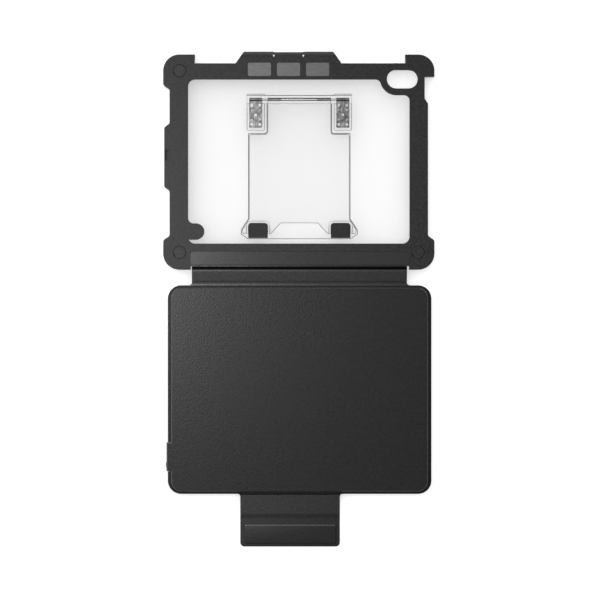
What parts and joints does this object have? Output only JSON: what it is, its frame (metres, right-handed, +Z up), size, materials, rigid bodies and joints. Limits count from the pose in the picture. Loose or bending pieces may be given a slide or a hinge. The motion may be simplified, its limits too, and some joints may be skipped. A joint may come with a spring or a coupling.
{
  "type": "tablet keyboard case",
  "caption": "Rugged tablet shell with a clear back, fold-out kickstand and pen tube, joined by a hinged spine to a slim keyboard with trackpad and a magnetic closing flap.",
  "frame": {"origin": "middle of the opened case's footprint, on the table that its lip and keys face", "axes": "+X along the tablet's long side, to the right seen from behind with the shell at the top; +Y from the keyboard towards the shell; +Z up from the table, out of the back of the case"},
  "size_m": [0.2648, 0.4843, 0.0128],
  "materials": {
    "frame_rubber": "matt moulded thermoplastic rubber with a fine grain",
    "clear_panel": "clear polished polycarbonate",
    "clear_stand": "clear polished polycarbonate",
    "grip_rubber": "matt soft rubber",
    "plug_rubber": "matt moulded rubber",
    "keeper_steel": "dark grey satin coated steel",
    "hinge_steel": "stamped steel, bright edges",
    "screw_steel": "bright zinc",
    "bar_plastic": "satin black plastic",
    "folio_skin": "matt black coated fabric with a fine grain",
    "folio_lining": "black microfibre",
    "stiff_board": "fibre board",
    "cover_plastic": "matt black plastic with a fine grain",
    "deck_plastic": "matt black plastic",
    "key_plastic": "matt black keycap",
    "trackpad_face": "etched black glass",
    "membrane_film": "translucent film",
    "plate_steel": "thin steel sheet",
    "circuit_green": "solder mask",
    "battery_foil": "wrapped cell",
    "light_lens": "clear light pipe",
    "magnet_nickel": "nickel plated"
  },
  "bodies": {
    "shell": {"bumper_frame": "frame_rubber", "pen_holder": "frame_rubber", "back_panel": "clear_panel", "corner_plug_top_left": "plug_rubber", "corner_plug_bottom_left": "plug_rubber", "corner_plug_bottom_right": "plug_rubber", "keeper_plate_left": "keeper_steel", "keeper_plate_middle": "keeper_steel", "keeper_plate_right": "keeper_steel", "hinge_leaf_left": "hinge_steel", "hinge_leaf_right": "hinge_steel", "hinge_screws": "screw_steel", "mounting_bar": "bar_plastic", "bar_screws": "screw_steel", "spine_tongue": "folio_skin"},
    "kickstand": {"kickstand_plate": "clear_stand", "kickstand_foot_left": "grip_rubber", "kickstand_foot_right": "grip_rubber", "hinge_shaft_left": "hinge_steel", "hinge_shaft_right": "hinge_steel"},
    "spine": {"spine_skin": "folio_skin", "spine_board": "stiff_board", "spine_lining": "folio_lining"},
    "keyboard": {"folio_skin": "folio_skin", "back_cover": "cover_plastic", "keyboard_deck": "deck_plastic", "key_membrane": "membrane_film", "switch_plate": "plate_steel", "deck_screws": "screw_steel", "circuit_board": "circuit_green", "battery": "battery_foil", "usb_port": "plate_steel", "status_lights": "light_lens", "trackpad_bracket": "plate_steel", "trackpad_switch": "circuit_green", "wake_magnet": "magnet_nickel"},
    "flap_root": {"flap_strap": "folio_skin"},
    "flap_middle": {"flap_bend": "folio_skin"},
    "flap_tip": {"flap_tip_lining": "folio_lining", "flap_tip_cover": "folio_skin", "flap_magnet_left": "magnet_nickel", "flap_magnet_middle": "magnet_nickel", "flap_magnet_right": "magnet_nickel"},
    "trackpad_body": {"trackpad": "trackpad_face"},
    "power_slider": {"power_switch": "deck_plastic"},
    "function_keys_body": {"function_keys": "key_plastic"},
    "number_keys_body": {"number_keys": "key_plastic"},
    "delete_key_body": {"delete_key": "key_plastic"},
    "tab_key_body": {"tab_key": "key_plastic"},
    "upper_letter_keys_body": {"upper_letter_keys": "key_plastic"},
    "caps_key_body": {"caps_key": "key_plastic"},
    "home_letter_keys_body": {"home_letter_keys": "key_plastic"},
    "return_key_body": {"return_key": "key_plastic"},
    "left_shift_key_body": {"left_shift_key": "key_plastic"},
    "lower_letter_keys_body": {"lower_letter_keys": "key_plastic"},
    "right_shift_key_body": {"right_shift_key": "key_plastic"},
    "left_modifier_keys_body": {"left_modifier_keys": "key_plastic"},
    "space_bar_body": {"space_bar": "key_plastic"},
    "right_modifier_keys_body": {"right_modifier_keys": "key_plastic"},
    "arrow_keys_body": {"arrow_keys": "key_plastic"}
  },
  "joints": [
    {"name": "kickstand_hinge", "type": "hinge", "parent": "shell", "child": "kickstand", "pos_m": [0.0005, 0.195, 0.011], "axis": [-1, 0, 0], "range_deg": [0, 130]},
    {"name": "spine_fold_at_shell", "type": "hinge", "parent": "shell", "child": "spine", "pos_m": [0, 0.0309, 0.0114], "axis": [1, 0, 0], "range_deg": [-110.17, 69.83]},
    {"name": "spine_fold_at_keyboard", "type": "hinge", "parent": "spine", "child": "keyboard", "pos_m": [0, 0.01457, 0.0054], "axis": [1, 0, 0], "range_deg": [-69.83, 110.17]},
    {"name": "flap_root_fold", "type": "hinge", "parent": "keyboard", "child": "flap_root", "pos_m": [0, -0.19143, 0.0054], "axis": [1, 0, 0], "range_deg": [-35, 46.79]},
    {"name": "flap_middle_fold", "type": "hinge", "parent": "flap_root", "child": "flap_middle", "pos_m": [0, -0.2055, 0.00263], "axis": [1, 0, 0], "range_deg": [0, 61.03]},
    {"name": "flap_tip_fold", "type": "hinge", "parent": "flap_middle", "child": "flap_tip", "pos_m": [0, -0.21428, 0.0009], "axis": [1, 0, 0], "range_deg": [0, 72.17]},
    {"name": "trackpad_press", "type": "slide", "parent": "keyboard", "child": "trackpad_body", "axis": [0, 0, 1], "range_m": [0, 0.0003], "stiffness_N_per_m": 4000, "springref_m": -0.0002},
    {"name": "power_switch_slide", "type": "slide", "parent": "keyboard", "child": "power_slider", "axis": [0, 1, 0], "range_m": [0, 0.002]},
    {"name": "function_keys_press", "type": "slide", "parent": "keyboard", "child": "function_keys_body", "axis": [0, 0, 1], "range_m": [0, 0.0012], "stiffness_N_per_m": 450, "springref_m": -0.0006},
    {"name": "number_keys_press", "type": "slide", "parent": "keyboard", "child": "number_keys_body", "axis": [0, 0, 1], "range_m": [0, 0.0012], "stiffness_N_per_m": 450, "springref_m": -0.0006},
    {"name": "delete_key_press", "type": "slide", "parent": "keyboard", "child": "delete_key_body", "axis": [0, 0, 1], "range_m": [0, 0.0012], "stiffness_N_per_m": 450, "springref_m": -0.0006},
    {"name": "tab_key_press", "type": "slide", "parent": "keyboard", "child": "tab_key_body", "axis": [0, 0, 1], "range_m": [0, 0.0012], "stiffness_N_per_m": 450, "springref_m": -0.0006},
    {"name": "upper_letter_keys_press", "type": "slide", "parent": "keyboard", "child": "upper_letter_keys_body", "axis": [0, 0, 1], "range_m": [0, 0.0012], "stiffness_N_per_m": 450, "springref_m": -0.0006},
    {"name": "caps_key_press", "type": "slide", "parent": "keyboard", "child": "caps_key_body", "axis": [0, 0, 1], "range_m": [0, 0.0012], "stiffness_N_per_m": 450, "springref_m": -0.0006},
    {"name": "home_letter_keys_press", "type": "slide", "parent": "keyboard", "child": "home_letter_keys_body", "axis": [0, 0, 1], "range_m": [0, 0.0012], "stiffness_N_per_m": 450, "springref_m": -0.0006},
    {"name": "return_key_press", "type": "slide", "parent": "keyboard", "child": "return_key_body", "axis": [0, 0, 1], "range_m": [0, 0.0012], "stiffness_N_per_m": 450, "springref_m": -0.0006},
    {"name": "left_shift_key_press", "type": "slide", "parent": "keyboard", "child": "left_shift_key_body", "axis": [0, 0, 1], "range_m": [0, 0.0012], "stiffness_N_per_m": 450, "springref_m": -0.0006},
    {"name": "lower_letter_keys_press", "type": "slide", "parent": "keyboard", "child": "lower_letter_keys_body", "axis": [0, 0, 1], "range_m": [0, 0.0012], "stiffness_N_per_m": 450, "springref_m": -0.0006},
    {"name": "right_shift_key_press", "type": "slide", "parent": "keyboard", "child": "right_shift_key_body", "axis": [0, 0, 1], "range_m": [0, 0.0012], "stiffness_N_per_m": 450, "springref_m": -0.0006},
    {"name": "left_modifier_keys_press", "type": "slide", "parent": "keyboard", "child": "left_modifier_keys_body", "axis": [0, 0, 1], "range_m": [0, 0.0012], "stiffness_N_per_m": 450, "springref_m": -0.0006},
    {"name": "space_bar_press", "type": "slide", "parent": "keyboard", "child": "space_bar_body", "axis": [0, 0, 1], "range_m": [0, 0.0012], "stiffness_N_per_m": 450, "springref_m": -0.0006},
    {"name": "right_modifier_keys_press", "type": "slide", "parent": "keyboard", "child": "right_modifier_keys_body", "axis": [0, 0, 1], "range_m": [0, 0.0012], "stiffness_N_per_m": 450, "springref_m": -0.0006},
    {"name": "arrow_keys_press", "type": "slide", "parent": "keyboard", "child": "arrow_keys_body", "axis": [0, 0, 1], "range_m": [0, 0.0012], "stiffness_N_per_m": 450, "springref_m": -0.0006}
  ]
}
